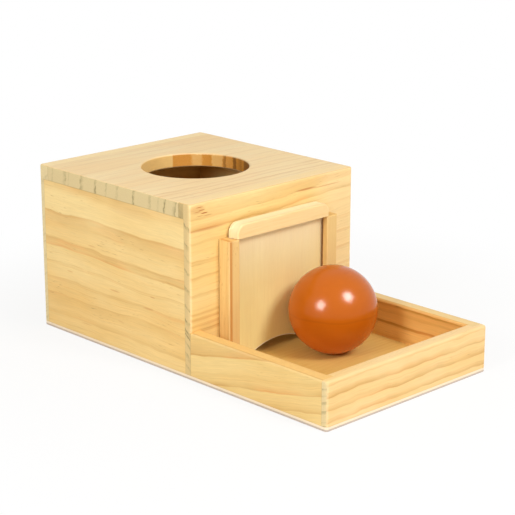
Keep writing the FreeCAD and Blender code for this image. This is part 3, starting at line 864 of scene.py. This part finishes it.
class TOYBOX_OT_door(bpy.types.Operator):
    """Gives the sliding door and its grip their wood"""

    bl_idname = "toybox.door"
    bl_label = "Door and grip"

    def execute(self, context):
        plies = [(0.0, 0.8), (0.28, 0.8), (0.34, 0.2), (0.66, 0.2), (0.72, 0.8), (1.0, 0.8)]
        # Paler and warmer towards the door's bottom: partly the plywood's own tone and partly painted light,
        # the warm light bounced up from the tray and the ball
        by_height = [(0.0, rgb(255, 240, 170)), (0.33, rgb(253, 237, 168)), (0.50, rgb(243, 223, 160)),
                     (0.72, rgb(241, 222, 174)), (0.90, rgb(243, 224, 190))]
        dress("door_panel", plywood(
            "door plywood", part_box("door_panel"), "Z", by_height, rgb(226, 196, 126), 2,
            plies, (rgb(236, 216, 168), rgb(250, 238, 196)), streaks=0.10, arched=True))
        # The grip's ends and top turn cream towards the back: a painted highlight on its rounded end and top
        ends = [(0.0, rgb(242, 210, 154)), (0.10, rgb(240, 205, 150)), (0.34, rgb(247, 230, 188)),
                (1.0, rgb(248, 234, 192))]
        dress("door_grip", plain_wood(
            "grip wood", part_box("door_grip"), "X", rgb(242, 210, 152), rgb(234, 193, 128), 6,
            streaks=0.35, ends=ends, edge_wear_and_highlight=0.15))
        return {"FINISHED"}


class TOYBOX_OT_rails(bpy.types.Operator):
    """Gives the two rails their streaked wood"""

    bl_idname = "toybox.rails"
    bl_label = "Rails"

    def execute(self, context):
        # Painted shade: a dark line along each rail's back, where it meets the front board
        shade = (("Y", 4.5, 6.0), 0.75, rgb(120, 82, 34))
        streak = (("X", -4.2, -2.0), 0.85, rgb(204, 136, 62))
        tone = (("X", -6.0, 6.0), 0.45, rgb(218, 180, 112))
        # Painted shade in the mouth of each rail's groove, where the door slides in
        groove_shade = rgb(158, 78, 2)
        lip = (("X", -2.2, 6.0), ("Y", -6.0, -4.0), 0.35, rgb(224, 184, 120))
        left = (shade, lip, streak, (("X", 2.0, 6.0), ("Y", -0.9, 2.0), 0.9, groove_shade))
        right = (shade, tone, (("X", -6.0, -1.6), ("Y", -0.9, 2.0), 0.9, groove_shade))
        for seed, node, stripes in ((1, "left_rail", left), (7, "right_rail", right)):
            dress(node, plain_wood(
                "rail wood " + node.replace("_rail", ""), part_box(node), "Z", rgb(238, 203, 136),
                rgb(218, 168, 94), seed, rough=0.45, streaks=0.40, length=50.0, stripes=stripes,
                edge_wear_and_highlight=0.10, fleck=0.45))
        return {"FINISHED"}


class TOYBOX_OT_inside(bpy.types.Operator):
    """Gives the ramp, its bearers and its guides their plain wood"""

    bl_idname = "toybox.inside"
    bl_label = "Ramp inside"

    def execute(self, context):
        grains = {"ramp_board": "Y", "ramp_rear_bearer": "X", "ramp_middle_bearer": "X",
                  "ramp_left_guide": "Y", "ramp_right_guide": "Y"}
        for seed, (node, grain) in enumerate(grains.items()):
            dress(node, plain_wood(
                "inner wood " + node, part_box(node), grain, rgb(236, 200, 138), rgb(208, 158, 92),
                20 + seed, rough=0.6))
        return {"FINISHED"}


class TOYBOX_OT_ball(bpy.types.Operator):
    """Makes the painted ball in place of the plain one"""

    bl_idname = "toybox.ball"
    bl_label = "Painted ball"

    def execute(self, context):
        low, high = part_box("ball")
        centre = (low + high) / 2
        radius = min(high - low) / 2
        item = round_surface("painted_ball", centre, radius, BALL_RINGS, BALL_SIDES)
        item.data.materials.append(ball_paint(centre, context.scene.toybox_paint))
        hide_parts("ball")
        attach(item, "ball")
        return {"FINISHED"}


class TOYBOX_OT_fixings(bpy.types.Operator):
    """Gives the screws their steel and the dowels their beech"""

    bl_idname = "toybox.fixings"
    bl_label = "Screws and dowels"

    def execute(self, context):
        settings = context.scene.toybox_fixings
        metal = steel(settings)
        for node in ("base_screws", "rail_screws", "grip_screws"):
            dress(node, metal)
        dress("tray_dowels", plain_wood(
            "dowel beech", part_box("tray_dowels"), "Y", tuple(settings.beech), rgb(196, 150, 104), 12,
            rough=0.55, streaks=0.4, length=20.0))
        return {"FINISHED"}


# The stage. A lamp's way from the ball is how far right, up and towards the camera it goes, as the camera
# sees it. The soft lamps stand at one distance, and the bulbs, which show only in gloss, a little before
# them. Distances are in metres, and a size is metres across.
LEFT_WAY = (-0.552, 0.19, 0.812)
RIGHT_WAY = (0.563, 0.509, 0.652)
LAMP_DISTANCE = 1.2
BULB_DISTANCE = 1.15
LEFT_LAMP_SIZE = 0.36
RIGHT_LAMP_SIZE = 0.40
LEFT_BULB_SIZE = 0.46
RIGHT_BULB_SIZE = 0.50
RIGHT_BULB_SHARE = 1.5

# The camera's sensor in millimetres, and how near it sees in metres
SENSOR_WIDTH = 36.0
NEAREST_SEEN = 0.01

# Half of the floor's side in metres
FLOOR_HALF = 6.0

# A tenth of a millimetre lower than the base, so that the two don't share a plane
FLOOR_LEVEL = -0.0001

# Metres from the middle of the floor between which it turns to plain white
FLOOR_WHITE = (0.15, 0.36)
WHITE = (1.0, 1.0, 1.0)


def seen_directly(sheet):
    """1 for a ray from the camera, or by way of a mirror or glass, and 0 for light that spreads."""
    path = sheet.add("LightPath").outputs
    shown = sheet.number("MAXIMUM", path["Is Camera Ray"], path["Is Glossy Ray"])
    return sheet.number("MAXIMUM", shown, path["Is Transmission Ray"])


def white_room(strength, tint):
    """A world that lights evenly at one strength and tint, and looks white."""
    sheet = Sheet(bpy.data.worlds.new("white room"), "OutputWorld")
    shown = seen_directly(sheet)
    level = sheet.linear(shown, 1.0 - strength, strength)
    return sheet.show(sheet.add("Background", {"Color": sheet.mix(shown, tint, WHITE), "Strength": level}))


def floor_material():
    """A white floor that takes soft shadows. The camera sees part of it as plain white, and all of it so
    beyond the shadows."""
    sheet = new_sheet("white floor")
    surface = sheet.add("BsdfDiffuse", {"Color": (0.90, 0.90, 0.90)})
    white = sheet.add("Emission", {"Color": WHITE, "Strength": 1.0})
    where = sheet.add("TexCoord").outputs["Object"]
    away = sheet.add("VectorMath", {0: where}, operation="LENGTH").outputs["Value"]
    plain = sheet.scaled(sheet.step(away, *FLOOR_WHITE), 0.86, 1.0)
    share = sheet.times(seen_directly(sheet), plain)
    return sheet.show(sheet.add("MixShader", {0: share, 1: surface.outputs[0], 2: white.outputs[0]}))


def lamp(name, centre, direction, distance, size, power, gleam_only=False):
    """A round soft lamp that faces a point from one direction. One for gleams only shows in gloss, and adds
    no light to a dull surface."""
    data = bpy.data.lights.new(name, "AREA")
    data.shape = "DISK"
    data.size = size
    data.energy = power
    item = bpy.data.objects.new(name, data)
    bpy.context.scene.collection.objects.link(item)
    item.location = centre + direction.normalized() * distance
    item.rotation_euler = direction.to_track_quat("Z", "Y").to_euler()
    item.visible_diffuse = not gleam_only


class TOYBOX_OT_stage(bpy.types.Operator):
    """Makes the camera, the lamps, the white room and the floor"""

    bl_idname = "toybox.stage"
    bl_label = "Stage"

    def execute(self, context):
        settings = context.scene.toybox_stage
        turn, rise = settings.azimuth, settings.elevation
        back = Vector((math.sin(turn) * math.cos(rise), -math.cos(turn) * math.cos(rise), math.sin(rise)))
        target = Vector(settings.target)
        right = Vector((0.0, 0.0, 1.0)).cross(back).normalized()
        upward = back.cross(right)

        data = bpy.data.cameras.new("camera")
        data.lens = settings.lens
        data.sensor_width = SENSOR_WIDTH
        data.clip_start = NEAREST_SEEN
        camera = bpy.data.objects.new("camera", data)
        context.scene.collection.objects.link(camera)
        camera.location = target + back * settings.distance
        camera.rotation_euler = back.to_track_quat("Z", "Y").to_euler()
        context.scene.camera = camera

        low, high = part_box("ball")
        ball_centre = (low + high) / 2
        left, rightward = [right * way[0] + upward * way[1] + back * way[2] for way in (LEFT_WAY, RIGHT_WAY)]
        lamp("left lamp", ball_centre, left, LAMP_DISTANCE, LEFT_LAMP_SIZE, settings.left_lamp)
        lamp("right lamp", ball_centre, rightward, LAMP_DISTANCE, RIGHT_LAMP_SIZE, settings.right_lamp)
        lamp("left bulb", ball_centre, left, BULB_DISTANCE, LEFT_BULB_SIZE, settings.gleam, gleam_only=True)
        lamp("right bulb", ball_centre, rightward, BULB_DISTANCE, RIGHT_BULB_SIZE,
             settings.gleam * RIGHT_BULB_SHARE, gleam_only=True)

        context.scene.world = white_room(settings.sky, settings.room_colour)
        mesh = bpy.data.meshes.new("floor")
        signs = ((-1, -1), (1, -1), (1, 1), (-1, 1))
        corners = [(x * FLOOR_HALF, y * FLOOR_HALF, FLOOR_LEVEL) for x, y in signs]
        mesh.from_pydata(corners, [], [(0, 1, 2, 3)])
        floor = bpy.data.objects.new("floor", mesh)
        floor.data.materials.append(floor_material())
        context.scene.collection.objects.link(floor)
        context.scene.view_settings.view_transform = "Standard"
        return {"FINISHED"}


class TOYBOX_PT_panel(bpy.types.Panel):
    """The toy's pieces and its stage"""

    bl_label = "Object permanence box"
    bl_idname = "TOYBOX_PT_panel"
    bl_space_type = "VIEW_3D"
    bl_region_type = "UI"
    bl_category = "Toy box"

    def draw(self, context):
        for operator in OPERATORS:
            self.layout.operator(operator.bl_idname)


OPERATORS = (
    TOYBOX_OT_boards, TOYBOX_OT_sheets, TOYBOX_OT_door, TOYBOX_OT_rails,
    TOYBOX_OT_inside, TOYBOX_OT_ball, TOYBOX_OT_fixings, TOYBOX_OT_stage,
)
SETTINGS = {
    "toybox_pine": PineSettings, "toybox_paint": PaintSettings,
    "toybox_fixings": FixingSettings, "toybox_stage": StageSettings,
}
CLASSES = (*SETTINGS.values(), *OPERATORS, TOYBOX_PT_panel)


def register():
    """Make the settings, operators and panel known to Blender."""
    for item in CLASSES:
        bpy.utils.register_class(item)
    for name, group in SETTINGS.items():
        setattr(bpy.types.Scene, name, bpy.props.PointerProperty(type=group))


def unregister():
    """Take them away again."""
    for name in SETTINGS:
        delattr(bpy.types.Scene, name)
    for item in reversed(CLASSES):
        bpy.utils.unregister_class(item)


def main():
    """Build everything in order."""
    register()
    bpy.ops.toybox.boards()
    bpy.ops.toybox.sheets()
    bpy.ops.toybox.door()
    bpy.ops.toybox.rails()
    bpy.ops.toybox.inside()
    bpy.ops.toybox.ball()
    bpy.ops.toybox.fixings()
    bpy.ops.toybox.stage()


if __name__ == "__main__":
    main()
